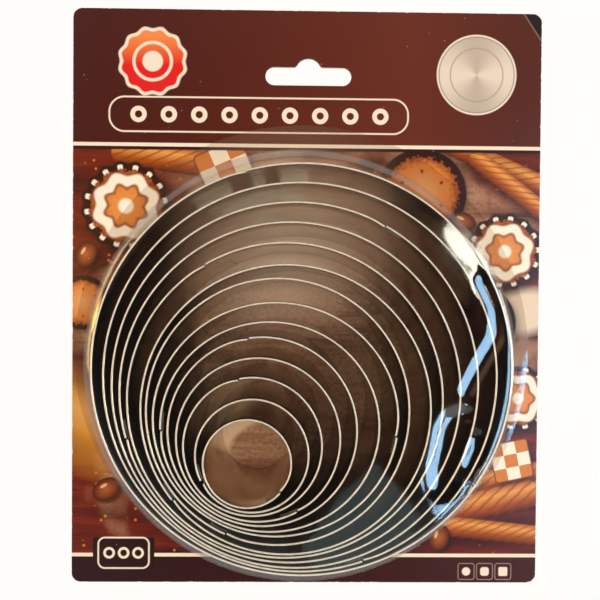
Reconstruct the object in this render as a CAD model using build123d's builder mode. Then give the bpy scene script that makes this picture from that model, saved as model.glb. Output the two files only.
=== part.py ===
from build123d import *

import os
from math import acos, ceil, cos, degrees, radians, sin, sqrt, tan

os.makedirs("parts", exist_ok=True)

# A retail pack of nested round biscuit cutters under a clear cup on a printed card.
# Lengths are in millimetres. Angles are in degrees, anticlockwise from +X, seen from the front.
# The pack lies on its back: z = 0 is the card's back face and +Y points to the hang hole.

# Backing card
card_width = 155.0
card_height = 190.0
card_thickness = 0.5
card_corner_radius = 3.0

# Hang hole: a long slot with a round notch above its middle, where the shop hook sits
hang_slot_width = 28.5
hang_slot_height = 6.0
hang_slot_below_top = 21.6
hook_notch_radius = 4.3
hook_notch_rise = 1.6
hook_notch_blend_radius = 1.2

# Steel cutters: bent strip, rim hemmed outwards, ends lapped inside and spot-welded
cutter_count = 14
smallest_diameter = 24.0
diameter_step = 6.86
cutter_height = 30.0
strip_thickness = 0.3
hem_depth = 3.0
seam_gap = 0.4
lap_length = 5.0
lap_tail = 1.2
lap_drop = 0.9
weld_depth = 0.1
# A strip's round is drawn in short flats, and this is how far their middles lie inside it
flat_depth = 0.04

# Clear blister: a round cup with a flat flange that is sealed to the card
sheet_thickness = 0.35
flange_radius = 75.4
cup_centre_x = -1.4
cup_centre_y = -18.2
cup_side_room = 1.8
cup_head_room = 1.2
cup_draft = 2.0
cup_bevel = 1.5

# How the cutters lie: each leans towards an angle inside the next larger one, and the
# share is how much of the free room it takes up. The smallest cutter comes first.
nest_clearance = 0.3
lean_angles = (-121, -94, -129, -117, -148, -128, -105, -165, -86, -123, -124, -122, -103, -69)
lean_shares = (1, 1, 0.95, 1, 0.95, 1, 0.87, 0.9, 1, 1, 0.95, 1, 0.85, 0.8)
seam_angles = (-40, -152, 102, -61, 99, -178, -8, -113, -141, 121, -164, 61, -71, 106)


def rim_radius(number):
    """Radius of a cutter at its hem's middle, which is also the outside of its wall."""
    return (smallest_diameter + (number - 1) * diameter_step) / 2


def nest_centres():
    """Centre of each cutter, worked out inwards from the cup."""
    centre_x, centre_y = cup_centre_x, cup_centre_y
    free_room = cup_side_room - nest_clearance
    centres = {}
    for number in range(cutter_count, 0, -1):
        lean = radians(lean_angles[number - 1])
        shift = free_room * lean_shares[number - 1]
        centre_x += shift * cos(lean)
        centre_y += shift * sin(lean)
        centres[number] = (centre_x, centre_y)
        free_room = diameter_step / 2 - 2 * strip_thickness - nest_clearance
    return centres


def bend_points(centre, radius, start_angle, arc):
    """Corners of a strip's run round a cutter's axis, bent in short flats."""
    flat_arc = 2 * acos(1 - flat_depth / radius)
    flats = ceil(radians(arc) / flat_arc)
    turns = [radians(start_angle + arc * step / flats) for step in range(flats + 1)]
    return [
        (centre[0] + radius * cos(turn), centre[1] + radius * sin(turn), card_thickness)
        for turn in turns
    ]


def section_plane(run):
    """A plane across the start of a strip's run, with its X outwards and its Y up."""
    along = run % 0
    return Plane(origin=run @ 0, x_dir=along.cross(Vector(0, 0, 1)), z_dir=-along)


# Printed backing card
hang_slot_y = card_height / 2 - hang_slot_below_top
with BuildPart() as backing_card:
    with BuildSketch():
        RectangleRounded(card_width, card_height, card_corner_radius)
        with BuildSketch(mode=Mode.SUBTRACT) as hang_hole:
            with Locations((0, hang_slot_y)):
                SlotOverall(hang_slot_width, hang_slot_height)
            with Locations((0, hang_slot_y + hook_notch_rise)):
                Circle(hook_notch_radius)
            notch_roots = hang_hole.vertices().filter_by_position(
                Axis.X, -hook_notch_radius, hook_notch_radius
            )
            fillet(notch_roots, hook_notch_blend_radius)
    extrude(amount=card_thickness)
backing_card.part.label = "backing_card"
export_step(backing_card.part, "parts/backing_card.step")

# Nested cutters. Each section is drawn at the radius of the wall's outside.
centres = nest_centres()
hem_low = cutter_height - hem_depth
for number in range(1, cutter_count + 1):
    radius = rim_radius(number)
    seam_angle = seam_angles[number - 1]
    gap_arc = degrees(seam_gap / radius)
    lap_arc = degrees(lap_length / radius)
    tail_arc = degrees(lap_tail / radius)
    with BuildPart() as cutter:
        # The strip with its edge folded down over the outside, open at the seam
        with BuildLine() as wall_run:
            Polyline(*bend_points(centres[number], radius, seam_angle + gap_arc / 2, 360 - gap_arc))
        with BuildSketch(section_plane(wall_run.line)):
            with BuildLine():
                Polyline(
                    (-strip_thickness, 0),
                    (0, 0),
                    (0, hem_low),
                    (strip_thickness, hem_low),
                    (strip_thickness, cutter_height),
                    (-strip_thickness, cutter_height),
                    close=True,
                )
            make_face()
        sweep(transition=Transition.RIGHT)
        # The tongue of the second end, which laps inside the first and is pressed into it
        with BuildLine() as lap_run:
            Polyline(*bend_points(centres[number], radius, seam_angle - lap_arc, lap_arc + tail_arc))
        with BuildSketch(section_plane(lap_run.line)):
            with BuildLine():
                Polyline(
                    (-2 * strip_thickness, 0),
                    (weld_depth - strip_thickness, 0),
                    (weld_depth - strip_thickness, cutter_height - lap_drop),
                    (-2 * strip_thickness, cutter_height - lap_drop),
                    close=True,
                )
            make_face()
        sweep(transition=Transition.RIGHT)
    cutter.part.label = f"cutter_{number:02d}"
    export_step(cutter.part, f"parts/cutter_{number:02d}.step")

# Clear blister
ceiling_low = card_thickness + cutter_height + cup_head_room
flange_high = card_thickness + sheet_thickness
cup_radius = rim_radius(cutter_count) + strip_thickness + cup_side_room
foot_radius = cup_radius + (ceiling_low - card_thickness) * tan(radians(cup_draft))
outer_bevel = cup_bevel + (2 - sqrt(2)) * sheet_thickness
with BuildPart() as blister:
    with BuildSketch(Plane(origin=(cup_centre_x, cup_centre_y, 0), x_dir=(1, 0, 0), z_dir=(0, -1, 0))):
        with BuildLine():
            Polyline(
                (0, ceiling_low),
                (cup_radius - cup_bevel, ceiling_low),
                (cup_radius, ceiling_low - cup_bevel),
                (foot_radius, card_thickness),
                (flange_radius, card_thickness),
                (flange_radius, flange_high),
                (foot_radius + sheet_thickness, flange_high),
                (cup_radius + sheet_thickness, ceiling_low + sheet_thickness - outer_bevel),
                (cup_radius + sheet_thickness - outer_bevel, ceiling_low + sheet_thickness),
                (0, ceiling_low + sheet_thickness),
                close=True,
            )
        make_face()
    revolve(axis=Axis((cup_centre_x, cup_centre_y, 0), (0, 0, 1)))
blister.part.label = "blister"
export_step(blister.part, "parts/blister.step")
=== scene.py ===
from math import atan2, cos, exp, hypot, pi, radians, sin, tan, tanh, tau

import bpy
from bpy.props import FloatProperty, FloatVectorProperty, IntProperty, PointerProperty
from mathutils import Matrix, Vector


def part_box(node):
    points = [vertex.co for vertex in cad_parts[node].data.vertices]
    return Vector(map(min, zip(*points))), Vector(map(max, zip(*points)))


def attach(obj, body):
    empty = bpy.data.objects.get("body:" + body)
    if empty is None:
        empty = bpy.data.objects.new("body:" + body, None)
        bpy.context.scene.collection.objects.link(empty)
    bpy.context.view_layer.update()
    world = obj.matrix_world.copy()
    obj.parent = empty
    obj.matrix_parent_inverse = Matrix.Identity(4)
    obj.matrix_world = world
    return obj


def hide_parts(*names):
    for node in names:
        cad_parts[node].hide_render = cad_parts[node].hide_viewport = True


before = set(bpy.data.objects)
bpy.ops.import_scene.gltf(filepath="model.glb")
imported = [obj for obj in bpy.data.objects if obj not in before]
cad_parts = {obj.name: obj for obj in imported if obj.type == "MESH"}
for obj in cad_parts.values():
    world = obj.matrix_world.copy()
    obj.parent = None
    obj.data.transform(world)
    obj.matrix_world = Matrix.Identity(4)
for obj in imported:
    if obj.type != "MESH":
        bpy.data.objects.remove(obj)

bl_info = {
    "name": "Carded biscuit cutters",
    "version": (1, 0, 0),
    "blender": (4, 5, 0),
    "location": "3D View > Sidebar > Cutters",
    "description": "Dresses a carded nest of round cutters in print, steel and clear sheet",
    "category": "Object",
}

MM = 0.001
CUTTERS = sorted(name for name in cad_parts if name.startswith("cutter_"))
CARD_LOW, CARD_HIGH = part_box("backing_card")
BLISTER_LOW, BLISTER_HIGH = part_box("blister")

# Where the picture is cut into an upper and a lower half, behind the cup
PICTURE_MIDDLE_Y = -18 * MM

# Steps along each part of a cutter's section, and the length of strip that one step covers
WALL_STEPS = 5
FOLD_STEPS = 8
STRIP_STEP = 1.3 * MM
# Turns of the blister's spin, and steps in its ceiling, its shoulder and its wall
CUP_TURNS = 300
CEILING_STEPS = 64
SHOULDER_STEPS = 8
WALL_RINGS = 6
FOOT_STEPS = 5
# Where the flange's inner rings lie past its foot, as shares of its width
FLANGE_SHARES = (0.1, 0.3167)
# The cup's wall leans out by its draft, and stands this far outside the largest cutter
DRAFT = radians(2)
SIDE_ROOM = 1.8 * MM
# Faces that turn by more than this meet in a sharp edge
SHARP_TURN = radians(40)
# The ceiling's waves die out at this distance from its middle
WAVE_REACH = 56 * MM

# Dents in the cup's ceiling: x and y from its middle, turn of the long axis, half length and half
# width, and depth. Lengths are in millimetres, and the turn is in degrees.
DENTS = (
    (18, -40, 10, 14, 8, 0.1),
    (-48, 26, 60, 14, 6, 0.2),
)
# Creases pressed into the ceiling's right side: half width, depth, and the places that each runs through
CREASES = (
    (1.9, 0.45, ((49.5, 23.3), (53.4, 15.9), (53, 8.3), (48.5, 0.6), (45, -6.2))),
    (2.6, 0.88, ((44, -13.3), (41.2, -14.4), (39.7, -17.2), (39, -21.6), (37.9, -27), (38.2, -31))),
    (1.6, 0.48, ((45, -17.5), (47.5, -18.5), (47.3, -22), (46, -25.5))),
)
DEEPEST_DENT = 1.05 * MM
# The dents fade out between these distances from the cup's middle, before its shoulder
DENT_FADE = (54.5 * MM, 56.4 * MM)
# The cup's shoulder is creased where the pack has been knocked
CRUSH_DEPTH = 0.9 * MM
CRUSH_TURN = radians(-32)

# How much wider than long some rims are, as a share of the radius
OVALS = {"cutter_06": 0.02, "cutter_07": 0.023, "cutter_08": -0.007, "cutter_13": 0.005, "cutter_14": 0.0105}


def linear(colour):
    """A colour written as sRGB hex, in linear light."""
    shares = [int(colour[place:place + 2], 16) / 255 for place in (1, 3, 5)]
    return [share / 12.92 if share <= 0.04045 else ((share + 0.055) / 1.055) ** 2.4 for share in shares]


def length(label, text, millimetres):
    """A length that the user can change."""
    return FloatProperty(
        name=label, description=text, default=millimetres * MM, unit="LENGTH", precision=5
    )


def colour(label, text, hex_value):
    """A colour that the user can change."""
    return FloatVectorProperty(
        name=label, description=text, default=linear(hex_value), subtype="COLOR", size=3, min=0, max=1
    )


def lamp_power(label, text, watts):
    """The power of a lamp."""
    return FloatProperty(name=label, description=text, default=watts, unit="POWER")


class StripSettings(bpy.types.PropertyGroup):
    """The bent steel strips."""
    thickness: length("Thickness", "Thickness of the rolled strip", 0.3)
    hem_depth: length("Hem depth", "How far the edge is folded down outside the wall", 3)
    fold_gap: length("Fold gap", "Air left between the wall and its hem", 0.04)
    seam_gap: length("Seam gap", "Distance between the hem's two ends", 0.5)
    sprung_gap: length("Sprung gap", "The same distance on the cutter whose seam has sprung open", 1.2)
    lap_length: length("Lap length", "How far the second end runs on inside the first", 5)
    lap_drop: length("Lap drop", "How much lower the second end is than the rim", 0.9)
    end_dip: length("End dip", "How far the second end is set inwards at the seam", 0.33)
    dip_length: length("Dip length", "Length of strip over which that end bends inwards", 6)
    weld_radius: length("Weld radius", "Radius of a spot weld", 0.8)
    weld_rise: length("Weld rise", "How far a spot weld stands up", 0.07)
    weld_count: IntProperty(name="Welds", description="Spot welds up each lap", default=3, min=1)
    steel: colour("Steel", "Bright rolled stainless steel", "#d4c9be")
    cut: colour("Cut", "The matt grey of a sheared edge", "#77726b")
    # The rim's paler colour is a painted highlight along the top of the fold.
    rim: colour("Rim", "The burnished fold of the rim", "#e8e4dc")


class SheetSettings(bpy.types.PropertyGroup):
    """The clear thermoformed blister."""
    thickness: length("Thickness", "Thickness of the clear sheet", 0.35)
    seal: length("Seal", "Clear sealing lacquer between the flange and the card", 0.02)
    shoulder_radius: length("Shoulder radius", "Rounding between the ceiling and the wall", 2.8)
    foot_radius: length("Foot radius", "Rounding between the wall and the flange", 0.8)
    sag: length("Sag", "How far the ceiling's waves rise and fall", 0.12)
    tint: colour("Tint", "Light that the sheet lets through", "#fbfaf8")


class PrintSettings(bpy.types.PropertyGroup):
    """What is printed on the card, in heights above the card's middle."""
    rule_y: length("Rule", "Height of the rule under the heading", 50.4)
    rule_width: length("Rule width", "Width of that rule", 1.2)
    footer_y: length("Footer rule", "Height of the rule over the footer", -85.9)
    heading: colour("Heading", "Ink of the heading", "#41100a")
    footer: colour("Footer", "Ink of the footer", "#240506")
    cream: colour("Cream", "Ink of rules and frames", "#ece0cf")
    board: colour("Board", "Ink of the wooden board", "#bc8d6c")
    gap: colour("Dark", "Ink of the board's dark stains", "#2c0f0a")
    dough: colour("Dough", "Ink of baked dough", "#cb7a35")
    crust: colour("Crust", "Ink of a browned edge", "#7d3410")
    icing: colour("Icing", "Ink of the icing", "#f3e9da")
    badge: colour("Badge", "Ink of the round badge", "#d8201f")
    badge_top: colour("Badge top", "Paler ink at the badge's top", "#ea8a4a")
    foil: colour("Foil", "Ink of the silver seal", "#b9ada1")
    core: colour("Core", "Bare board where the print is worn off", "#d8d2c8")


class StageSettings(bpy.types.PropertyGroup):
    """The floor, the light and the camera."""
    floor: colour("Floor", "Pale studio floor", "#f4f3f1")
    world_level: FloatProperty(name="World level", description="Strength of the even light", default=0.4)
    ceiling_level: lamp_power("Ceiling level", "Power of the light straight above", 10)
    glow_level: FloatProperty(
        name="Glow level", description="Strength of the warm glow overhead", default=1.1
    )
    key_level: lamp_power("Key level", "Power of the main lamp", 3)
    window_level: lamp_power("Window level", "Power of the window's light", 5.2)
    sky_level: lamp_power("Sky level", "Power of the patch of sky", 0.17)
    lantern_level: lamp_power("Lantern level", "Power of the small white lamp", 0.36)
    panel_level: lamp_power("Panel level", "Power of the dim grey panel", 0.07)
    side_level: lamp_power("Side level", "Power of the warm lamp at the side", 2.6)
    gleam_level: lamp_power("Gleam level", "Power of the narrow warm lamp at the left", 1.5)
    edge_level: lamp_power("Edge level", "Power of the low lamp at the right", 3)
    lens: FloatProperty(name="Lens", description="Focal length, in millimetres", default=29.05)
    shift_x: FloatProperty(name="Shift X", description="Sideways shift of the lens", default=-0.0202)
    shift_y: FloatProperty(name="Shift Y", description="Upwards shift of the lens", default=-0.0007)
    eye: FloatVectorProperty(
        name="Eye", description="Where the camera stands", default=(0.13 * MM, 1.11 * MM, 161.56 * MM),
        subtype="TRANSLATION", unit="LENGTH",
    )
    tilt: FloatVectorProperty(
        name="Tilt", description="How the camera is turned from looking straight down",
        default=(radians(-0.563), radians(-0.595), radians(0.456)), subtype="EULER", unit="ROTATION",
    )


class PackSettings(bpy.types.PropertyGroup):
    """All that can be changed on the carded pack."""
    strip: PointerProperty(type=StripSettings)
    sheet: PointerProperty(type=SheetSettings)
    ink: PointerProperty(type=PrintSettings)
    stage: PointerProperty(type=StageSettings)


def add_node(tree, kind, feeds=(), **settings):
    """Adds a node with its settings, and feeds its inputs with links or values."""
    made = tree.nodes.new(kind)
    for setting, value in settings.items():
        setattr(made, setting, value)
    for name, value in dict(feeds).items():
        if isinstance(value, bpy.types.NodeSocket):
            tree.links.new(value, made.inputs[name])
        else:
            made.inputs[name].default_value = value
    return made


def maths(tree, operation, *values):
    """The result of one sum on sockets or numbers."""
    made = add_node(tree, "ShaderNodeMath", dict(enumerate(values)), operation=operation)
    return made.outputs[0]


def rescaled(tree, value, low, high, start=0, end=1):
    """A value held between two limits, and stretched to run from start to end."""
    made = add_node(tree, "ShaderNodeMapRange", {
        "Value": value, "From Min": low, "From Max": high, "To Min": start, "To Max": end,
    })
    return made.outputs["Result"]


def noise(tree, spot, size, detail, **more):
    """Smooth random grey, in lumps of that size."""
    made = add_node(tree, "ShaderNodeTexNoise", {
        "Vector": spot, "Scale": 1 / size, "Detail": detail, **more,
    })
    return made.outputs[0]


def new_material(name):
    """A material with an empty node tree, its tree and its output node."""
    material = bpy.data.materials.new(name)
    material.use_nodes = True
    material.node_tree.nodes.clear()
    output = add_node(material.node_tree, "ShaderNodeOutputMaterial")
    return material, material.node_tree, output


def opaque(shade):
    """A colour with full alpha, as a socket wants it."""
    return (*shade, 1)


def inside(tree, distance, limit, softness):
    """1 where a distance is under its limit, and 0 past it."""
    return rescaled(tree, distance, limit - softness, limit + softness, 1, 0)


def printed(tree, under, ink, mask):
    """The colour under, overprinted with an ink where the mask is 1."""
    mix = add_node(tree, "ShaderNodeMix", {0: mask, 6: under, 7: ink}, data_type="RGBA")
    return mix.outputs[2]


def placed(tree, spot, x, y, turn=0, size=1.0, breadth=None):
    """Coordinates of a motif of that size, turned about its own middle."""
    scale = (size * MM, (breadth or size) * MM, 1)
    local = add_node(tree, "ShaderNodeMapping", {
        "Vector": spot, "Location": (x * MM, y * MM, 0), "Rotation": (0, 0, radians(turn)), "Scale": scale,
    }, vector_type="TEXTURE")
    return local.outputs["Vector"]


def reach(tree, local, corner=None):
    """Distance from a motif's middle, or from the flat box that runs out to a corner."""
    if corner is not None:
        folded = add_node(tree, "ShaderNodeVectorMath", {0: local}, operation="ABSOLUTE").outputs[0]
        past = add_node(tree, "ShaderNodeVectorMath", {0: folded, 1: (*corner, 0)}, operation="SUBTRACT")
        local = add_node(
            tree, "ShaderNodeVectorMath", {0: past.outputs[0], 1: (0, 0, 0)}, operation="MAXIMUM"
        ).outputs[0]
    return add_node(tree, "ShaderNodeVectorMath", {0: local}, operation="LENGTH").outputs["Value"]


def outline(tree, distance, limit, width, softness):
    """1 along a line where a distance reaches its limit."""
    off = maths(tree, "SUBTRACT", distance, limit)
    size = maths(tree, "ABSOLUTE", off)
    return inside(tree, size, width / 2, softness)


def fluted(tree, local, flutes, depth):
    """Distance from a motif's middle, drawn in and out along a fluted edge."""
    parts = add_node(tree, "ShaderNodeSeparateXYZ", {0: local})
    turn = maths(tree, "ARCTAN2", parts.outputs[1], parts.outputs[0])
    crest = maths(tree, "COSINE", maths(tree, "MULTIPLY", turn, flutes))
    return maths(tree, "MULTIPLY_ADD", crest, depth, reach(tree, local)), crest


def ramp(tree, value, stops):
    """A colour that runs through stops of place and ink."""
    made = add_node(tree, "ShaderNodeValToRGB", {0: value})
    elements = made.color_ramp.elements
    while len(elements) < len(stops):
        elements.new(0.5)
    for element, (place, ink) in zip(elements, stops):
        element.position = place
        element.color = opaque(ink)
    return made.outputs["Color"]


def shadowed(tree, under, spot, x, y, size, turn=0, breadth=None, corner=None):
    """The soft shadow that a pictured thing drops to its lower right."""
    local = placed(tree, spot, x + 0.9, y - 1.1, turn, size, breadth)
    fall = inside(tree, reach(tree, local, corner), 0.98 if corner is None else 0.2, 0.14)
    faint = maths(tree, "MULTIPLY", fall, 0.7)
    return printed(tree, under, opaque(linear("#220b06")), faint)


def board_picture(tree, spot, ink):
    """The wooden board that everything in the picture lies on."""
    grain_place = add_node(tree, "ShaderNodeMapping", {
        "Vector": spot, "Rotation": (0, 0, radians(-14)), "Scale": (1 / (60 * MM), 1 / (7 * MM), 1),
    })
    grain = noise(tree, grain_place.outputs[0], 1, 7, Roughness=0.62, Distortion=0.5)
    board = ramp(tree, grain, (
        (0.3, linear("#7a4d38")), (0.42, ink.board), (0.54, linear("#cfa686")), (0.62, linear("#a97e62")),
        (0.75, linear("#c49b7b")),
    ))
    mottle = noise(tree, spot, 1.2 * MM, 2)
    fleck = rescaled(tree, mottle, 0.4, 0.7, 0, 0.5)
    board = printed(tree, board, opaque(linear("#7e5238")), fleck)
    # Its middle is lightened by a soft painted pool of light over the upper part of the cup, and dark red
    # stains show at the picture's edges
    pale = inside(tree, reach(tree, placed(tree, spot, -6, 19, 20, 31, 25)), 0.6, 0.6)
    board = printed(tree, board, opaque(linear("#ffeedb")), pale)
    stain_place = add_node(tree, "ShaderNodeMapping", {"Vector": spot, "Scale": (1 / (38 * MM),) * 3})
    stain = noise(tree, stain_place.outputs[0], 1, 3)
    rim = reach(tree, placed(tree, spot, -1.4, -18.2, 0, 62))
    dark = maths(tree, "MULTIPLY", stain, rim)
    spread = rescaled(tree, dark, 0.42, 0.62)
    plank = ramp(tree, grain, (
        (0.3, ink.gap), (0.5, linear("#5d1a0d")), (0.68, linear("#84300f")), (0.8, linear("#3d120b")),
    ))
    board = printed(tree, board, plank, spread)
    # Crumbs lie about on the stained part
    crumbs = add_node(
        tree, "ShaderNodeTexVoronoi", {"Vector": spot, "Scale": 1 / (4.5 * MM), "Randomness": 1}
    )
    near = inside(tree, crumbs.outputs["Distance"], 0.1, 0.04)
    crumb = maths(tree, "MULTIPLY", near, spread)
    return printed(tree, board, opaque(ink.dough), crumb)


def biscuit_ink(tree, distance, spot, ink, pale):
    """Baked dough, darker towards its edge, with a crumb of about a millimetre."""
    crumb = noise(tree, spot, 1.3 * MM, 3)
    uneven = maths(tree, "MULTIPLY_ADD", crumb, 0.34, distance)
    return ramp(tree, uneven, (
        (0.2, pale), (0.8, ink.dough), (1.04, ink.crust), (1.16, ink.gap),
    ))


def iced_biscuit(tree, under, spot, ink, x, y, radius, turn, flutes):
    """A fluted biscuit with a wavy ring of icing and beads round its edge."""
    under = shadowed(tree, under, spot, x, y, radius)
    local = placed(tree, spot, x, y, turn, radius)
    distance, crest = fluted(tree, local, flutes, 0.035)
    dough = biscuit_ink(tree, distance, spot, ink, linear("#dd9450"))
    drawn = printed(tree, under, dough, inside(tree, distance, 1, 0.02))
    piped, _ = fluted(tree, local, flutes / 2, -0.05)
    shade = outline(tree, piped, 0.6, 0.34, 0.05)
    drawn = printed(tree, drawn, opaque(ink.crust), shade)
    drawn = printed(tree, drawn, opaque(ink.icing), outline(tree, piped, 0.61, 0.24, 0.03))
    bead = maths(
        tree, "MULTIPLY", inside(tree, crest, -0.45, 0.12), outline(tree, distance, 0.87, 0.09, 0.02)
    )
    drawn = printed(tree, drawn, opaque(ink.icing), bead)
    return printed(tree, drawn, opaque(ink.icing), inside(tree, reach(tree, local), 0.17, 0.03))


def plain_biscuit(tree, under, spot, ink, x, y, radius):
    """A smooth pale biscuit, pricked with small holes."""
    under = shadowed(tree, under, spot, x, y, radius)
    local = placed(tree, spot, x, y, 0, radius)
    distance = reach(tree, local)
    dough = biscuit_ink(tree, distance, spot, ink, linear("#d9a06a"))
    drawn = printed(tree, under, dough, inside(tree, distance, 1, 0.02))
    holes, crest = fluted(tree, local, 6, 0)
    pricks = maths(
        tree, "MULTIPLY", inside(tree, crest, -0.93, 0.04), outline(tree, holes, 0.5, 0.08, 0.02)
    )
    return printed(tree, drawn, opaque(ink.crust), pricks)


def straw(tree, under, spot, ink, x, y, half_length, half_width, turn):
    """A baked straw, twisted so that bands of dough run round it."""
    spread = half_width / half_length
    under = shadowed(tree, under, spot, x, y, half_length, turn, half_length, (1 - spread, 0))
    local = placed(tree, spot, x, y, turn, half_length)
    distance = reach(tree, local, (1 - spread, 0))
    side = add_node(tree, "ShaderNodeSeparateXYZ", {0: local}).outputs[1]
    round_share = rescaled(tree, side, -spread, spread)
    body = ramp(tree, round_share, (
        (0, linear("#431507")), (0.35, linear("#a4501a")), (0.72, linear("#e09a4e")), (1, linear("#a65a22")),
    ))
    slope = add_node(tree, "ShaderNodeMapping", {"Vector": local, "Rotation": (0, 0, radians(58))})
    bands = add_node(tree, "ShaderNodeTexWave", {
        "Vector": slope.outputs[0], "Scale": 0.55 / spread, "Distortion": 1.2, "Detail": 2, "Detail Scale": 3,
    })
    crease = rescaled(tree, bands.outputs[1], 0.05, 0.35, 0.6, 0)
    body = printed(tree, body, opaque(ink.crust), crease)
    return printed(tree, under, body, inside(tree, distance, spread, 0.012))


def chequered_biscuit(tree, under, spot, ink, x, y, half_width, turn):
    """A square biscuit of pale and dark dough in nine fields."""
    under = shadowed(tree, under, spot, x, y, half_width, turn, half_width, (0.8, 0.8))
    local = placed(tree, spot, x, y, turn, half_width)
    shifted = add_node(tree, "ShaderNodeMapping", {"Vector": local, "Location": (1, 1, 0.3)})
    fields = add_node(tree, "ShaderNodeTexChecker", {
        "Vector": shifted.outputs[0], "Color1": opaque(ink.icing), "Color2": opaque(ink.dough), "Scale": 1.5,
    })
    distance = reach(tree, local, (0.82, 0.82))
    drawn = printed(tree, under, opaque(ink.crust), inside(tree, distance, 0.2, 0.03))
    return printed(tree, drawn, fields.outputs[0], inside(tree, distance, 0.14, 0.03))


def nut(tree, under, spot, ink, x, y, half_length, half_width, turn):
    """A round brown nut with its pale seam."""
    under = shadowed(tree, under, spot, x, y, half_length, turn, half_width)
    local = placed(tree, spot, x, y, turn, half_length, half_width)
    shell = ramp(tree, reach(tree, local), (
        (0, linear("#a65e2c")), (0.6, linear("#7c3a18")), (1, linear("#3b1508")),
    ))
    drawn = printed(tree, under, shell, inside(tree, reach(tree, local), 1, 0.04))
    gleam = inside(tree, reach(tree, placed(tree, spot, x - 1, y + 1.1, turn, 1.3, 0.5)), 1, 0.3)
    return printed(tree, drawn, opaque(linear("#e2b184")), gleam)


def blurred_patch(tree, under, spot, x, y, half_length, half_width, turn, edge, shade):
    """A soft patch of colour that is out of focus in the picture."""
    local = placed(tree, spot, x, y, turn, half_length, half_width)
    return printed(tree, under, opaque(linear(shade)), inside(tree, reach(tree, local), 1 - edge, edge))


def painted_light_crescent(tree, under, spot):
    """A painted crescent of light on the board inside the smallest cutter: a pale oval with a round part
    taken out of it.
    """
    # The pale oval is painted light; the round part taken out of it is left unlit.
    pale_oval = inside(tree, reach(tree, placed(tree, spot, -22, -42, 0, 12.5, 16)), 0.75, 0.25)
    mark = inside(tree, reach(tree, placed(tree, spot, -14.2, -50.5, 20, 11.5, 9)), 1, 0.1)
    left = maths(tree, "SUBTRACT", 1, mark)
    lit_crescent = maths(tree, "MULTIPLY", pale_oval, left)
    return printed(tree, under, opaque(linear("#ffdcb2")), lit_crescent)


def frame_line(tree, under, spot, ink, x, y, half_width, half_height, corner_radius, width):
    """A rounded frame, drawn as one line."""
    local = placed(tree, spot, x, y)
    corner = (half_width - corner_radius, half_height - corner_radius)
    return printed(
        tree, under, opaque(ink), outline(tree, reach(tree, local, corner), corner_radius, width, 0.12)
    )


def rules(tree, under, spot, ink):
    """The cream rules over and under the picture, and the dark band beneath the upper one."""
    height = add_node(tree, "ShaderNodeSeparateXYZ", {0: spot}).outputs[1]
    shade = outline(tree, height, ink.rule_y - 0.9 * MM, 1.6 * MM, 0.2 * MM)
    drawn = printed(tree, under, opaque(ink.gap), shade)
    for rule in (ink.rule_y, ink.footer_y):
        line = outline(tree, height, rule, ink.rule_width, 0.08 * MM)
        drawn = printed(tree, drawn, opaque(ink.cream), line)
    return drawn


def footer_frame(tree, under, spot, ink):
    """The wide frame that breaks the lower rule, with three rings in it."""
    gap = inside(tree, reach(tree, placed(tree, spot, -60.3, -85.3), (9.4, 4.4)), 0.8, 0.1)
    drawn = printed(tree, under, opaque(ink.footer), gap)
    drawn = frame_line(tree, drawn, spot, ink.cream, -60.3, -85.3, 8.4, 5.1, 2.2, 0.55)
    for step in range(3):
        ring = reach(tree, placed(tree, spot, -65.1 + 4.8 * step, -85.3, 0, 2.1))
        drawn = printed(tree, drawn, opaque(ink.cream), outline(tree, ring, 0.72, 0.4, 0.05))
    return drawn


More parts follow.
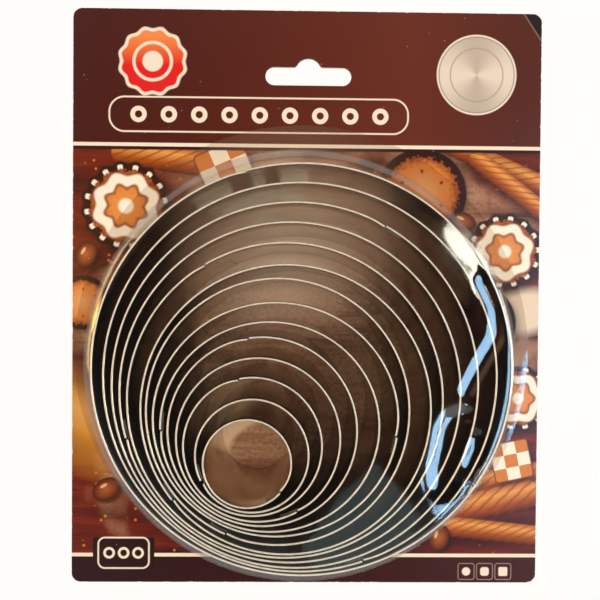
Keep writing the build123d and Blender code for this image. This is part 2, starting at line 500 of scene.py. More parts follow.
def heading_print(tree, spot, ink):
    """The heading: a fluted badge, a row of cutter sizes in a long frame and a silver seal."""
    side = add_node(tree, "ShaderNodeSeparateXYZ", {0: spot}).outputs[0]
    across = rescaled(tree, side, -70 * MM, 70 * MM)
    under = ramp(tree, across, ((0, ink.heading), (0.75, linear("#612a1d")), (1, linear("#4f2014"))))
    under = rules(tree, under, spot, ink)
    badge = placed(tree, spot, -51.4, 77.8, 0, 11.2)
    distance, _ = fluted(tree, badge, 12, 0.035)
    height = add_node(tree, "ShaderNodeSeparateXYZ", {0: badge}).outputs[1]
    blend = rescaled(tree, height, -0.1, 0.75)
    red = printed(tree, opaque(ink.badge), opaque(ink.badge_top), blend)
    drawn = printed(tree, under, opaque(ink.cream), inside(tree, distance, 1, 0.02))
    drawn = printed(tree, drawn, red, inside(tree, distance, 0.9, 0.02))
    drawn = printed(tree, drawn, opaque(ink.cream), outline(tree, reach(tree, badge), 0.55, 0.09, 0.02))
    drawn = printed(tree, drawn, opaque(ink.cream), inside(tree, reach(tree, badge), 0.3, 0.02))
    # The frame and its row of rings
    drawn = frame_line(tree, drawn, spot, ink.cream, -16.2, 60.4, 49.4, 5.7, 5, 0.55)
    for step in range(9):
        ring = reach(tree, placed(tree, spot, -56 + 10 * step, 60.4, 0, 2.7))
        drawn = printed(tree, drawn, opaque(ink.cream), outline(tree, ring, 0.72, 0.56, 0.03))
    # The seal, with the faint sheen of foil
    seal = placed(tree, spot, 55.9, 74.6, 0, 13.3)
    _, sheen = fluted(tree, seal, 2, 0)
    share = rescaled(tree, sheen, -1, 1)
    foil = printed(tree, opaque(ink.foil), opaque(linear("#ddd2c5")), share)
    drawn = printed(tree, drawn, opaque(linear("#e6ddd0")), inside(tree, reach(tree, seal), 1, 0.012))
    drawn = printed(tree, drawn, opaque(linear("#8d8680")), inside(tree, reach(tree, seal), 0.955, 0.012))
    drawn = printed(tree, drawn, foil, inside(tree, reach(tree, seal), 0.93, 0.012))
    drawn = printed(
        tree, drawn, opaque(linear("#a39a90")), outline(tree, reach(tree, seal), 0.66, 0.03, 0.014)
    )
    # The upper right corner has been bent, though the card is drawn flat: past the bend it is painted dark, a
    # painted shade on the bent corner, and a pale line along the bend is a painted highlight on its crease
    slant = add_node(tree, "ShaderNodeVectorMath", {
        0: spot, 1: (1 / (6 * MM), 1 / (9 * MM), 0),
    }, operation="DOT_PRODUCT").outputs["Value"]
    bend = 71.5 / 6 + 95 / 9
    flat = rescaled(tree, slant, bend - 0.05, bend + 0.05)
    drawn = printed(tree, drawn, opaque(linear("#1c1210")), flat)
    return printed(tree, drawn, opaque(linear("#8d7a70")), outline(tree, slant, bend, 0.05, 0.05))


def footer_print(tree, spot, ink):
    """The footer: one wide frame that breaks the rule, and three small ones."""
    side = add_node(tree, "ShaderNodeSeparateXYZ", {0: spot}).outputs[0]
    across = rescaled(tree, side, -70 * MM, 70 * MM)
    under = ramp(tree, across, ((0, ink.footer), (1, linear("#3c120b"))))
    drawn = footer_frame(tree, rules(tree, under, spot, ink), spot, ink)
    for step in range(3):
        x = 54.2 + 6.2 * step
        drawn = frame_line(tree, drawn, spot, linear("#a08a84"), x, -91.3, 2.7, 2.7, 0.8, 0.25)
        mark = reach(tree, placed(tree, spot, x, -91.3), (0.5 * step, 0.5 * step))
        drawn = printed(tree, drawn, opaque(ink.cream), inside(tree, mark, 1.4 - 0.45 * step, 0.15))
    return drawn


def upper_left_print(tree, spot, ink):
    """The picture's upper left: biscuits beside the cup."""
    drawn = board_picture(tree, spot, ink)
    drawn = plain_biscuit(tree, drawn, spot, ink, -74, -2, 9)
    drawn = straw(tree, drawn, spot, ink, -48, 46, 17, 4.2, -8)
    drawn = iced_biscuit(tree, drawn, spot, ink, -60, 30, 14.5, 20, 16)
    drawn = blurred_patch(tree, drawn, spot, -17, 30, 19, 8, 12, 0.05, "#f4f8ec")
    drawn = chequered_biscuit(tree, drawn, spot, ink, -27, 42, 8.5, 24)
    drawn = nut(tree, drawn, spot, ink, -20, 31, 3.6, 2.6, 20)
    drawn = nut(tree, drawn, spot, ink, -11, 33, 3, 2.2, 130)
    drawn = nut(tree, drawn, spot, ink, -73, 14, 4.5, 3.4, 60)
    return rules(tree, drawn, spot, ink)


def upper_right_print(tree, spot, ink):
    """The picture's upper right: a pale biscuit, straws and a floury patch."""
    drawn = board_picture(tree, spot, ink)
    drawn = blurred_patch(tree, drawn, spot, 73, -4, 15, 9, 12, 0.2, "#dccab6")
    drawn = plain_biscuit(tree, drawn, spot, ink, 57, -8, 13)
    drawn = plain_biscuit(tree, drawn, spot, ink, 38, 35, 15)
    drawn = straw(tree, drawn, spot, ink, 62, 45, 24, 3.6, -24)
    drawn = straw(tree, drawn, spot, ink, 70, 36, 20, 3.2, -38)
    drawn = iced_biscuit(tree, drawn, spot, ink, 66, 16, 12.5, -35, 14)
    drawn = nut(tree, drawn, spot, ink, 52, 26, 4.2, 3, -20)
    return rules(tree, drawn, spot, ink)


def lower_left_print(tree, spot, ink):
    """The picture's lower left: warm honey tones, out of focus, and a painted crescent of light inside the
    smallest cutter.
    """
    drawn = painted_light_crescent(tree, board_picture(tree, spot, ink), spot)
    drawn = blurred_patch(tree, drawn, spot, -71, -42, 29, 18, -38, 0.4, "#c8872f")
    drawn = blurred_patch(tree, drawn, spot, -74, -38, 13, 8, -38, 0.45, "#dba35c")
    drawn = nut(tree, drawn, spot, ink, -66, -64, 5, 3.6, 30)
    return footer_frame(tree, rules(tree, drawn, spot, ink), spot, ink)


def lower_right_print(tree, spot, ink):
    """The picture's lower right: straws and a biscuit."""
    drawn = board_picture(tree, spot, ink)
    drawn = straw(tree, drawn, spot, ink, 56, -62, 26, 4.4, 9)
    drawn = straw(tree, drawn, spot, ink, 50, -71, 30, 4.8, 13)
    drawn = straw(tree, drawn, spot, ink, 66, -78, 22, 3.4, -6)
    drawn = iced_biscuit(tree, drawn, spot, ink, 71, -33, 11, 60, 12)
    drawn = chequered_biscuit(tree, drawn, spot, ink, 69, -54, 6.5, 12)
    drawn = nut(tree, drawn, spot, ink, 45, -80, 4.6, 3.4, 75)
    return rules(tree, drawn, spot, ink)


def varnished_board(name, ink, draw):
    """Printed paperboard with a gloss varnish: the ink lies flat, and its edges are knocked pale."""
    material, tree, output = new_material(name)
    spot = add_node(tree, "ShaderNodeTexCoord").outputs["Object"]
    flat = add_node(tree, "ShaderNodeMapping", {"Vector": spot, "Scale": (1, 1, 0)}).outputs[0]
    drawn = draw(tree, flat, ink)
    # White nicks where the card's edge has been knocked, and dust on the varnish
    half = (CARD_HIGH - CARD_LOW) / 2
    margin = 3 * MM
    border = reach(tree, flat, (half.x - margin, half.y - margin))
    chips = noise(tree, spot, 1.6 * MM, 4)
    worn = maths(tree, "MULTIPLY_ADD", chips, 1.3 * MM, border)
    nicks = rescaled(tree, worn, margin + 0.68 * MM, margin + 0.74 * MM)
    drawn = printed(tree, drawn, opaque(ink.core), nicks)
    dust = add_node(tree, "ShaderNodeTexVoronoi", {"Vector": flat, "Scale": 1 / (5 * MM), "Randomness": 1})
    speck = inside(tree, dust.outputs["Distance"], 0.035, 0.015)
    faint = maths(tree, "MULTIPLY", speck, 0.45)
    drawn = printed(tree, drawn, opaque(ink.core), faint)
    fibre = noise(tree, spot, 0.4 * MM, 3)
    bump = add_node(tree, "ShaderNodeBump", {
        "Height": fibre, "Strength": 0.06, "Distance": 0.02 * MM,
    })
    shader = add_node(tree, "ShaderNodeBsdfPrincipled", {
        "Base Color": drawn, "Roughness": 0.3, "Specular IOR Level": 0.22, "Normal": bump.outputs[0],
    })
    tree.links.new(shader.outputs[0], output.inputs["Surface"])
    return material


def bare_board(ink):
    """The cut edges and the back: uncoated grey board with short paper fibres."""
    material, tree, output = new_material("bare_paperboard")
    spot = add_node(tree, "ShaderNodeTexCoord").outputs["Object"]
    fibre = noise(tree, spot, 0.4 * MM, 3)
    shade = ramp(tree, fibre, ((0.3, linear("#b7b0a5")), (0.7, ink.core)))
    bump = add_node(tree, "ShaderNodeBump", {
        "Height": fibre, "Strength": 0.2, "Distance": 0.02 * MM,
    })
    shader = add_node(tree, "ShaderNodeBsdfPrincipled", {
        "Base Color": shade, "Roughness": 0.85, "IOR": 1.5, "Normal": bump.outputs[0],
    })
    tree.links.new(shader.outputs[0], output.inputs["Surface"])
    return material


PRINTS = {
    "heading": heading_print,
    "upper_left": upper_left_print,
    "upper_right": upper_right_print,
    "lower_left": lower_left_print,
    "lower_right": lower_right_print,
    "footer": footer_print,
    "bare": None,
}


def strip_steel(strip):
    """Bright rolled stainless strip: long fine rolling lines, a little oil stain and soft reflections."""
    material, tree, output = new_material("rolled_stainless_steel")
    spot = add_node(tree, "ShaderNodeTexCoord").outputs["Object"]
    # Rolling lines run round the cutter; real ones are 0.02 mm apart, and these are drawn at 0.25 mm
    lines_place = add_node(tree, "ShaderNodeMapping", {
        "Vector": spot, "Scale": (1 / (25 * MM), 1 / (25 * MM), 1 / (0.25 * MM)),
    })
    lines = noise(tree, lines_place.outputs[0], 1, 3)
    stain = noise(tree, spot, 14 * MM, 4)
    shade = ramp(tree, stain, ((0.4, strip.steel), (0.65, linear("#b9ab9c"))))
    rough = rescaled(tree, lines, 0.3, 0.7, 0.14, 0.26)
    bump = add_node(tree, "ShaderNodeBump", {
        "Height": lines, "Strength": 0.16, "Distance": 0.02 * MM,
    })
    # The wall isn't quite flat: it ripples by about a tenth of a millimetre over a few millimetres
    ripple_place = add_node(tree, "ShaderNodeMapping", {
        "Vector": spot, "Scale": (1 / (5 * MM), 1 / (5 * MM), 1 / (14 * MM)),
    })
    ripple = noise(tree, ripple_place.outputs[0], 1, 2)
    bump = add_node(tree, "ShaderNodeBump", {
        "Height": ripple, "Strength": 1, "Distance": 0.12 * MM, "Normal": bump.outputs[0],
    })
    shader = add_node(tree, "ShaderNodeBsdfPrincipled", {
        "Base Color": shade, "Metallic": 1, "Roughness": rough, "Normal": bump.outputs[0],
    })
    tree.links.new(shader.outputs[0], output.inputs["Surface"])
    return material


def rim_highlight_steel(strip):
    """The same strip where it is folded: the bend stretches and mattes it, and its paler, half-matt colour is
    a painted highlight along the top of the rounded fold.
    """
    material, tree, output = new_material("folded_steel_painted_highlight")
    spot = add_node(tree, "ShaderNodeTexCoord").outputs["Object"]
    grain = noise(tree, spot, 1.5 * MM, 4)
    shade = ramp(tree, grain, ((0.3, linear("#d2cec6")), (0.6, strip.rim)))
    shader = add_node(tree, "ShaderNodeBsdfPrincipled", {
        "Base Color": shade, "Metallic": 0.35, "Roughness": 0.5,
    })
    tree.links.new(shader.outputs[0], output.inputs["Surface"])
    return material


def sheared_steel(strip):
    """The strip's sheared edge, which is matt and has no rolling lines."""
    material, tree, output = new_material("sheared_stainless_steel")
    shader = add_node(tree, "ShaderNodeBsdfPrincipled", {
        "Base Color": opaque(strip.cut), "Metallic": 1, "Roughness": 0.55,
    })
    tree.links.new(shader.outputs[0], output.inputs["Surface"])
    return material


def clear_sheet(sheet):
    """Thermoformed clear PET: the thin sheet hardly bends light, so it only tints it and reflects."""
    material, tree, output = new_material("clear_pet_sheet")
    spot = add_node(tree, "ShaderNodeTexCoord").outputs["Object"]
    pull = noise(tree, spot, 9 * MM, 3)
    bump = add_node(tree, "ShaderNodeBump", {"Height": pull, "Strength": 0.12, "Distance": 0.3 * MM})
    through = add_node(tree, "ShaderNodeBsdfTransparent", {"Color": opaque(sheet.tint)})
    gloss = add_node(tree, "ShaderNodeBsdfGlossy", {
        "Color": (1, 1, 1, 1), "Roughness": 0.05, "Normal": bump.outputs[0],
    })
    # Both faces reflect alike: a twentieth of the light straight on, and a fifth of it edge on, because
    # the drawn wall is thin and scuffed
    weight = add_node(tree, "ShaderNodeLayerWeight", {"Blend": 0.5, "Normal": bump.outputs[0]})
    rise = maths(tree, "POWER", weight.outputs["Facing"], 5)
    share = maths(tree, "MULTIPLY_ADD", rise, 0.14, 0.05)
    mix = add_node(tree, "ShaderNodeMixShader", {
        0: share, 1: through.outputs[0], 2: gloss.outputs[0],
    })
    # Where the pack has been knocked, the shoulder is creased, and fine white lines are painted on the sheet
    # there: painted highlights along the creases
    glint_noise = noise(tree, spot, 3 * MM, 3, Distortion=0.6)
    line = outline(tree, glint_noise, 0.5, 0.03, 0.02)
    knocked = inside(tree, reach(tree, placed(tree, spot, 47.2, -50.4, 56, 20, 3.4)), 0.7, 0.3)
    white = maths(tree, "MULTIPLY", line, knocked)
    faint = maths(tree, "MULTIPLY", white, 0.6)
    painted_glint = add_node(tree, "ShaderNodeBsdfDiffuse", {"Color": (1, 0.96, 0.93, 1)})
    mix = add_node(tree, "ShaderNodeMixShader", {0: faint, 1: mix.outputs[0], 2: painted_glint.outputs[0]})
    tree.links.new(mix.outputs[0], output.inputs["Surface"])
    return material


def drawn_line(name, points):
    """An object in edit mode with one line of edges, extruded from a single vertex."""
    bpy.ops.object.select_all(action="DESELECT")
    bpy.ops.mesh.primitive_plane_add(size=MM, location=points[0])
    line = bpy.context.object
    line.name = line.data.name = name
    bpy.ops.object.mode_set(mode="EDIT")
    bpy.ops.mesh.merge(type="CENTER")
    for start, end in zip(points, points[1:]):
        bpy.ops.mesh.extrude_region_move(TRANSFORM_OT_translate={"value": end - start})
    return line


def spun(line, middle, arc, steps):
    """Spins the line anticlockwise about an upright axis and leaves edit mode."""
    bpy.ops.mesh.select_all(action="SELECT")
    bpy.ops.mesh.spin(steps=steps, angle=arc, center=middle, axis=(0, 0, -1))
    bpy.ops.mesh.remove_doubles(threshold=0.001 * MM)
    bpy.ops.mesh.normals_make_consistent(inside=False)
    bpy.ops.object.mode_set(mode="OBJECT")
    bpy.ops.object.transform_apply(location=True)
    return line


def thickened(piece, thickness):
    """Gives a spun surface its wall, half to each side."""
    wall = piece.modifiers.new("wall", "SOLIDIFY")
    wall.thickness = thickness
    wall.offset = 0
    bpy.context.view_layer.objects.active = piece
    bpy.ops.object.modifier_apply(modifier=wall.name)


def smoothed(piece, angle):
    """Smooth faces, with sharp edges where the faces turn by more than an angle."""
    bpy.ops.object.select_all(action="DESELECT")
    piece.select_set(True)
    bpy.context.view_layer.objects.active = piece
    bpy.ops.object.shade_smooth_by_angle(angle=angle)


def upright(middle, radius, turn, z):
    """A point at a radius and an angle about an upright axis."""
    return Vector((middle.x + radius * cos(turn), middle.y + radius * sin(turn), z))


def cutter_place(name, strip):
    """A cutter's axis, wall radius and seam angle, read from its solid."""
    low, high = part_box(name)
    middle = (low + high) / 2
    radius = (high.x - low.x) / 2 - strip.thickness
    pull = Vector((0, 0))
    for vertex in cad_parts[name].data.vertices:
        arm = (vertex.co - middle).xy
        if arm.length < radius - 1.5 * strip.thickness:
            pull += arm.normalized()
    lap_turn = atan2(pull.y, pull.x)
    return Vector((middle.x, middle.y, 0)), radius, lap_turn, low.z, high.z


def section_line(middle, radius, turn, foot, top, strip):
    """The middle of the strip's thickness, up the wall, over the fold and down the hem."""
    fold = (strip.thickness + strip.fold_gap) / 2
    wall = radius - strip.thickness / 2
    fold_z = top - strip.thickness / 2 - fold
    line = [(wall, foot + (fold_z - foot) * step / WALL_STEPS) for step in range(WALL_STEPS)]
    for step in range(FOLD_STEPS + 1):
        bend = pi * step / FOLD_STEPS
        line.append((wall + fold - fold * cos(bend), fold_z + fold * sin(bend)))
    line.append((wall + 2 * fold, top - strip.hem_depth))
    return [upright(middle, r, turn, z) for r, z in line]


def set_end_in(piece, middle, seam, strip):
    """Bends the strip's second end inwards, so that the lap lies inside the first end."""
    for vertex in piece.data.vertices:
        arm = (vertex.co - middle).xy
        along = ((atan2(arm.y, arm.x) - seam) % tau) * arm.length
        if along < strip.dip_length:
            share = (1 - along / strip.dip_length) ** 2
            vertex.co.xy = middle.xy + arm * (1 - strip.end_dip * share / arm.length)


def spot_weld(middle, radius, turn, z, strip):
    """A low round weld on the inside of the lap."""
    bpy.ops.mesh.primitive_uv_sphere_add(
        segments=16, ring_count=8, radius=strip.weld_radius, location=(0, 0, 0)
    )
    weld = bpy.context.object
    bpy.ops.object.mode_set(mode="EDIT")
    bpy.ops.transform.resize(value=(strip.weld_rise / strip.weld_radius, 1, 1))
    bpy.ops.object.mode_set(mode="OBJECT")
    weld.rotation_euler.z = turn
    weld.location = upright(middle, radius, turn, z)
    bpy.ops.object.transform_apply(location=True, rotation=True)
    return weld


def joined(name, pieces):
    """Joins pieces into the first one."""
    bpy.ops.object.select_all(action="DESELECT")
    for piece in pieces:
        piece.select_set(True)
    bpy.context.view_layer.objects.active = pieces[0]
    bpy.ops.object.join()
    pieces[0].name = pieces[0].data.name = name
    return pieces[0]


def bent_cutter(name, strip, gap):
    """One cutter: strip with its hem, the lap inside its seam and the spot welds."""
    middle, radius, lap_turn, foot, top = cutter_place(name, strip)
    lap_arc = strip.lap_length / radius
    seam = lap_turn + lap_arc / 2 - 0.6 * MM / radius
    gap_arc = gap / radius
    steps = round((tau - gap_arc) * radius / STRIP_STEP)
    line = section_line(middle, radius, seam + gap_arc / 2, foot, top, strip)
    wall = spun(drawn_line(name, line), middle, tau - gap_arc, steps)
    thickened(wall, strip.thickness)
    set_end_in(wall, middle, seam, strip)
    # The lap goes on from the second end, clockwise, under the first
    inner = radius - strip.thickness / 2 - strip.end_dip
    heights = [foot + (top - strip.lap_drop - foot) * step / WALL_STEPS for step in range(WALL_STEPS + 1)]
    lap_line = [upright(middle, inner, seam - lap_arc, z) for z in heights]
    lap = spun(drawn_line("lap", lap_line), middle, lap_arc + gap_arc / 2, 6)
    thickened(lap, strip.thickness)
    pieces = [wall, lap]
    for step in range(strip.weld_count):
        z = foot + (top - foot) * (step + 0.5) / strip.weld_count
        weld_radius = inner - strip.thickness / 2
        pieces.append(spot_weld(middle, weld_radius, seam - lap_arc / 2, z, strip))
    return joined(name + "_strip", pieces)


def pulled_oval(piece, name):
    """Bends a cutter slightly out of round about its own middle."""
    if name in OVALS:
        low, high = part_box(name)
        bpy.ops.object.select_all(action="DESELECT")
        bpy.context.view_layer.objects.active = piece
        bpy.ops.object.mode_set(mode="EDIT")
        bpy.ops.mesh.select_all(action="SELECT")
        bpy.ops.transform.resize(
            value=(1 + OVALS[name], 1 - OVALS[name], 1), center_override=(low + high) / 2
        )
        bpy.ops.object.mode_set(mode="OBJECT")


def paint_rim(piece, top, strip):
    """Gives the top of the folded rim its paler finish, a painted highlight, and the sheared edges their own
    finish.
    """
    for face in piece.data.polygons:
        if face.center.z > top - strip.thickness / 3:
            face.material_index = 1
        elif abs(face.normal.z) > 0.9:
            face.material_index = 2


class CUTTERS_OT_cutters(bpy.types.Operator):
    """Bends and dresses all the steel cutters"""
    bl_idname = "cutters.cutters"
    bl_label = "Steel cutters"

    def execute(self, context):
        strip = context.scene.carded_cutters.strip
        finishes = (strip_steel(strip), rim_highlight_steel(strip), sheared_steel(strip))
        for name in CUTTERS:
            gap = strip.sprung_gap if name == "cutter_02" else strip.seam_gap
            piece = bent_cutter(name, strip, gap)
            for finish in finishes:
                piece.data.materials.append(finish)
            paint_rim(piece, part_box(name)[1].z, strip)
            pulled_oval(piece, name)
            smoothed(piece, SHARP_TURN)
            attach(piece, name)
            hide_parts(name)
        return {"FINISHED"}


class CUTTERS_OT_blister(bpy.types.Operator):
    """Forms the clear cup and its flange"""
    bl_idname = "cutters.blister"
    bl_label = "Clear blister"

    def execute(self, context):
        sheet = context.scene.carded_cutters.sheet
        piece = thermoformed_cup(sheet)
        piece.data.materials.append(clear_sheet(sheet))
        smoothed(piece, SHARP_TURN)
        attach(piece, "blister")
        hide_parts("blister")
        return {"FINISHED"}


def cup_line(middle, sheet):
    """The middle of the sheet from the ceiling's centre, over the shoulder and out along the flange."""
    half = sheet.thickness / 2
    ceiling = BLISTER_HIGH.z - half
    flange_z = BLISTER_LOW.z + sheet.seal + half
    flange = (BLISTER_HIGH.x - BLISTER_LOW.x) / 2
    largest = (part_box(CUTTERS[-1])[1].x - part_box(CUTTERS[-1])[0].x) / 2
    cup = largest + SIDE_ROOM + half
    bend, foot_bend = sheet.shoulder_radius, sheet.foot_radius
    line = [((cup - bend) * step / CEILING_STEPS, ceiling) for step in range(CEILING_STEPS)]
    for step in range(SHOULDER_STEPS + 1):
        turn = (pi / 2 - DRAFT) * step / SHOULDER_STEPS
        line.append((cup - bend + bend * sin(turn), ceiling - bend + bend * cos(turn)))
    top_r, top_z = line[-1]
    low_z = flange_z + foot_bend
    low_r = top_r + (top_z - low_z) * tan(DRAFT)
    for step in range(1, WALL_RINGS):
        share = step / WALL_RINGS
        line.append((top_r + (low_r - top_r) * share, top_z + (low_z - top_z) * share))
    for step in range(FOOT_STEPS + 1):
        turn = (pi / 2) * step / FOOT_STEPS
        line.append((low_r + foot_bend * (1 - cos(turn)), flange_z + foot_bend * (1 - sin(turn))))
    foot_r = line[-1][0]
    line += [(foot_r + (flange - low_r) * share, flange_z) for share in FLANGE_SHARES]
    line.append((flange, flange_z))
    return [upright(middle, r, 0, z) for r, z in line]


def dent_depth(arm, x, y, turn, half_length, half_width, depth):
    """How deep an oval dent is at a place on the cup's ceiling."""
    ahead, aside = arm.x - x * MM, arm.y - y * MM
    along = (ahead * cos(radians(turn)) + aside * sin(radians(turn))) / (half_length * MM)
    across = (aside * cos(radians(turn)) - ahead * sin(radians(turn))) / (half_width * MM)
    return depth * MM * 2 ** -(along * along + across * across)


def crease_depth(arm, half_width, depth, places):
    """How deep a crease is at a place on the cup's ceiling."""
    nearest = []
    for start, end in zip(places, places[1:]):
        start, run = Vector(start) * MM, (Vector(end) - Vector(start)) * MM
        share = min(max((arm.xy - start).dot(run) / run.length_squared, 0), 1)
        nearest.append((arm.xy - start - run * share).length)
    return depth * MM * exp(-((min(nearest) / (half_width * MM)) ** 2))


def thermoformed_cup(sheet):
    """A spun cup with a gently wavy ceiling."""
    middle = (BLISTER_LOW + BLISTER_HIGH) / 2
    middle.z = 0
    line = cup_line(middle, sheet)
    cup = spun(drawn_line("clear_cup", line), middle, tau, CUP_TURNS)
    ceiling = BLISTER_HIGH.z - sheet.thickness / 2
    for vertex in cup.data.vertices:
        arm = vertex.co - middle
        if arm.z > ceiling - 0.01 * MM:
            fade = max(0, 1 - hypot(arm.x, arm.y) / WAVE_REACH)
            wave = sin(arm.x / (9 * MM) + 1.3) * cos(arm.y / (13 * MM)) + sin((arm.x + arm.y) / (21 * MM))
            vertex.co.z += sheet.sag * (0.5 * wave - 1) * fade ** 0.5
            dent = sum(dent_depth(arm, *dent) for dent in DENTS)
            dent += sum(crease_depth(arm, *crease) for crease in CREASES)
            room = (DENT_FADE[1] - arm.xy.length) / (DENT_FADE[1] - DENT_FADE[0])
            vertex.co.z -= DEEPEST_DENT * tanh(dent / DEEPEST_DENT) * min(max(room, 0), 1)
        elif arm.z > ceiling - sheet.shoulder_radius:
            turn = atan2(arm.y, arm.x)
            crush = CRUSH_DEPTH * max(0, cos(turn - CRUSH_TURN)) ** 6
            crease = sin(37 * turn) * sin(23 * turn + 1) / 2 + 0.15
            share = crush * crease * (ceiling - arm.z) / sheet.shoulder_radius
            vertex.co.xy = (middle + arm * (1 + share / arm.xy.length)).xy
    thickened(cup, sheet.thickness)
    return cup


def cut_across(place, normal):
    """Cuts the faces of the mesh in edit mode along an upright plane."""
    bpy.ops.mesh.select_all(action="SELECT")
    bpy.ops.mesh.bisect(plane_co=place, plane_no=normal)


def printed_part(face, ink):
    """Which part of the card a face belongs to."""
    if face.normal.z < 0.5:
        return "bare"
    if face.center.y > ink.rule_y:
        return "heading"
    if face.center.y < ink.footer_y:
        return "footer"
    upper = "upper" if face.center.y > PICTURE_MIDDLE_Y else "lower"
    return upper + ("_right" if face.center.x > 0 else "_left")


class CUTTERS_OT_card(bpy.types.Operator):
    """Prints the backing card"""
    bl_idname = "cutters.card"
    bl_label = "Printed card"

    def execute(self, context):
        ink = context.scene.carded_cutters.ink
        bpy.ops.object.select_all(action="DESELECT")
        bpy.ops.mesh.primitive_plane_add(size=MM)
        card = bpy.context.object
        card.name = "printed_card"
        card.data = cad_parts["backing_card"].data.copy()
        card.data.materials.clear()
        bpy.ops.object.mode_set(mode="EDIT")
        bpy.ops.mesh.select_all(action="SELECT")
        bpy.ops.mesh.remove_doubles(threshold=0.001 * MM)
        bpy.ops.mesh.dissolve_limited(angle_limit=radians(1))
        for height in (ink.rule_y, ink.footer_y, PICTURE_MIDDLE_Y):
            cut_across((0, height, 0), (0, 1, 0))
        cut_across((0, 0, 0), (1, 0, 0))
        bpy.ops.object.mode_set(mode="OBJECT")
        parts = list(PRINTS)
        for face in card.data.polygons:
            face.material_index = parts.index(printed_part(face, ink))
        for part, draw in PRINTS.items():
            finish = bare_board(ink) if draw is None else varnished_board(part + "_paperboard", ink, draw)
            card.data.materials.append(finish)
        smoothed(card, radians(30))
        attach(card, "card")
        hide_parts("backing_card")
        return {"FINISHED"}


def studio_floor(stage):
    """A pale matt floor that the camera and mirrors see as white, with the pack's soft shadow."""
    material, tree, output = new_material("pale_studio_floor")
    path = add_node(tree, "ShaderNodeLightPath")
    seen = path.outputs["Is Camera Ray"]
    for other in ("Is Glossy Ray", "Is Transmission Ray"):
        seen = maths(tree, "MAXIMUM", seen, path.outputs[other])
    share = maths(tree, "MULTIPLY", seen, 0.8)
    matt = add_node(tree, "ShaderNodeBsdfDiffuse", {"Color": opaque(stage.floor)})
    white = add_node(tree, "ShaderNodeEmission", {"Color": (1, 1, 1, 1), "Strength": 1})
    mix = add_node(tree, "ShaderNodeMixShader", {0: share, 1: matt.outputs[0], 2: white.outputs[0]})
    tree.links.new(mix.outputs[0], output.inputs["Surface"])
    return material


def even_light(stage):
    """A pale room that is darker straight overhead, where the photographer stands."""
    world = bpy.data.worlds.new("soft_room")
    bpy.context.scene.world = world
    world.use_nodes = True
    tree = world.node_tree
    tree.nodes.clear()
    direction = add_node(tree, "ShaderNodeTexCoord").outputs["Generated"]
    height = add_node(tree, "ShaderNodeSeparateXYZ", {0: direction}).outputs[2]
    level = add_node(tree, "ShaderNodeMapRange", {
        "Value": height, "From Min": cos(radians(40)), "From Max": cos(radians(23)),
        "To Min": stage.world_level, "To Max": 0.05,
    }, interpolation_type="SMOOTHSTEP")
    room = add_node(tree, "ShaderNodeBackground", {
        "Color": opaque(linear("#fff6ec")), "Strength": level.outputs[0],
    })
    # A warm glow close to the zenith, which the clear sheet mirrors over the nest
    middle = Vector((-0.04, 0.14, 1)).normalized()
    nearness = add_node(tree, "ShaderNodeVectorMath", {0: direction, 1: middle}, operation="DOT_PRODUCT")
    glow = add_node(tree, "ShaderNodeMapRange", {
        "Value": nearness.outputs["Value"], "From Min": cos(radians(17)), "From Max": cos(radians(4)),
        "To Min": 0, "To Max": stage.glow_level,
    }, interpolation_type="SMOOTHSTEP")
    warm = add_node(tree, "ShaderNodeBackground", {
        "Color": opaque(linear("#e8b896")), "Strength": glow.outputs[0],
    })
    room = add_node(tree, "ShaderNodeAddShader", {0: room.outputs[0], 1: warm.outputs[0]})
    white = add_node(tree, "ShaderNodeBackground", {"Color": (1, 1, 1, 1), "Strength": 1})
    # The camera sees white. So do metal and glass, except straight overhead.
    path = add_node(tree, "ShaderNodeLightPath")
    mirrored = maths(tree, "MAXIMUM", path.outputs["Is Glossy Ray"], path.outputs["Is Transmission Ray"])
    low = add_node(tree, "ShaderNodeMapRange", {
        "Value": height, "From Min": cos(radians(40)), "From Max": cos(radians(23)), "To Min": 1, "To Max": 0,
    }, interpolation_type="SMOOTHSTEP").outputs["Result"]
    mirrored = maths(tree, "MULTIPLY", mirrored, low)
    seen = maths(tree, "MAXIMUM", path.outputs["Is Camera Ray"], mirrored)
    mix = add_node(tree, "ShaderNodeMixShader", {0: seen, 1: room.outputs[0], 2: white.outputs[0]})
    add_node(tree, "ShaderNodeOutputWorld", {"Surface": mix.outputs[0]})


def soft_lamp(name, place, width, depth, power, shade, roll=0, shape="RECTANGLE", mirrored=True, matt=True):
    """A flat soft lamp that faces the pack, and may be kept out of mirrors or off matt things."""
    bpy.ops.object.light_add(type="AREA", location=place)
    lamp = bpy.context.object
    lamp.name = name
    lamp.rotation_euler = Vector(place).to_track_quat("Z", "Y").to_euler()
    lamp.rotation_euler.rotate_axis("Z", roll)
    lamp.data.shape = shape
    lamp.data.size, lamp.data.size_y = width, depth
    lamp.data.energy = power
    lamp.data.color = shade
    lamp.visible_glossy = mirrored
    lamp.visible_diffuse = matt


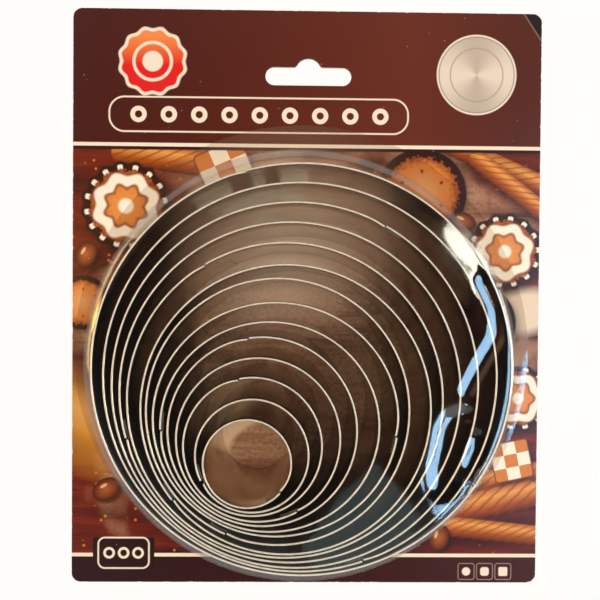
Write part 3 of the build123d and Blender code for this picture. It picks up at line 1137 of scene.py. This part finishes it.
class CUTTERS_OT_stage(bpy.types.Operator):
    """Sets the floor, the light and the camera"""
    bl_idname = "cutters.stage"
    bl_label = "Stage"

    def execute(self, context):
        stage = context.scene.carded_cutters.stage
        context.scene.view_settings.view_transform = "Standard"
        bpy.ops.object.select_all(action="DESELECT")
        bpy.ops.mesh.primitive_plane_add(size=4, location=(0, 0, -0.1 * MM))
        floor = bpy.context.object
        floor.name = "floor"
        bpy.ops.object.transform_apply(location=True)
        floor.data.materials.append(studio_floor(stage))
        even_light(stage)
        # The room's ceiling light is a long tube. It falls between the cutters where they lie along it, and
        # isn't seen in the clear sheet.
        tube = linear("#fff1e0")
        soft_lamp("ceiling_lamp", (0, 0.03, 1.2), 1.3, 0.3, stage.ceiling_level, tube, mirrored=False)
        soft_lamp(
            "key_lamp", (0.55, 0.28, 0.9), 0.16, 0.16, stage.key_level, linear("#fff3e2"), mirrored=False
        )
        blue, white, grey, gold = (linear(shade) for shade in ("#9fd4ff", "#fff8e8", "#98b4b4", "#ffc766"))
        soft_lamp("window_lamp", (0.62, -0.1, 0.9), 0.8, 0.24, stage.window_level, blue, matt=False)
        soft_lamp("sky_lamp", (0.304, -0.428, 0.9), 0.1, 0.08, stage.sky_level, blue, radians(15), "ELLIPSE")
        soft_lamp(
            "lantern", (0.345, 0.085, 0.9), 0.17, 0.062, stage.lantern_level, white, radians(26), "ELLIPSE"
        )
        soft_lamp("wall_panel", (0.11, -0.475, 0.9), 0.2, 0.12, stage.panel_level, grey, radians(30))
        soft_lamp("side_lamp", (-0.6, 0.08, 0.34), 0.4, 0.4, stage.side_level, gold, matt=False)
        soft_lamp("gleam_lamp", (-0.62, 0, 0.75), 0.07, 0.24, stage.gleam_level, gold, matt=False)
        soft_lamp("edge_lamp", (0.75, -0.02, 0.3), 0.4, 0.25, stage.edge_level, white, matt=False)
        bpy.ops.object.camera_add(location=stage.eye, rotation=stage.tilt)
        camera = bpy.context.object
        camera.data.lens = stage.lens
        camera.data.shift_x, camera.data.shift_y = stage.shift_x, stage.shift_y
        camera.data.clip_start = 10 * MM
        context.scene.camera = camera
        return {"FINISHED"}


class CUTTERS_PT_pack(bpy.types.Panel):
    """Lists the pieces of the pack and their sizes"""
    bl_idname = "CUTTERS_PT_pack"
    bl_label = "Carded cutters"
    bl_space_type = "VIEW_3D"
    bl_region_type = "UI"
    bl_category = "Cutters"

    def draw(self, context):
        pack = context.scene.carded_cutters
        for operator, group in OPERATORS:
            self.layout.operator(operator.bl_idname)
            for name in getattr(pack, group).bl_rna.properties.keys():
                if name not in ("rna_type", "name"):
                    self.layout.prop(getattr(pack, group), name)


OPERATORS = (
    (CUTTERS_OT_stage, "stage"),
    (CUTTERS_OT_card, "ink"),
    (CUTTERS_OT_cutters, "strip"),
    (CUTTERS_OT_blister, "sheet"),
)
CLASSES = (
    StripSettings, SheetSettings, PrintSettings, StageSettings, PackSettings,
    *(operator for operator, _ in OPERATORS), CUTTERS_PT_pack,
)


def register():
    for kind in CLASSES:
        bpy.utils.register_class(kind)
    bpy.types.Scene.carded_cutters = PointerProperty(type=PackSettings)


def unregister():
    del bpy.types.Scene.carded_cutters
    for kind in reversed(CLASSES):
        bpy.utils.unregister_class(kind)


def main():
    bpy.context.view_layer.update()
    register()
    bpy.ops.cutters.stage()
    bpy.ops.cutters.card()
    bpy.ops.cutters.cutters()
    bpy.ops.cutters.blister()


if __name__ == "__main__":
    main()
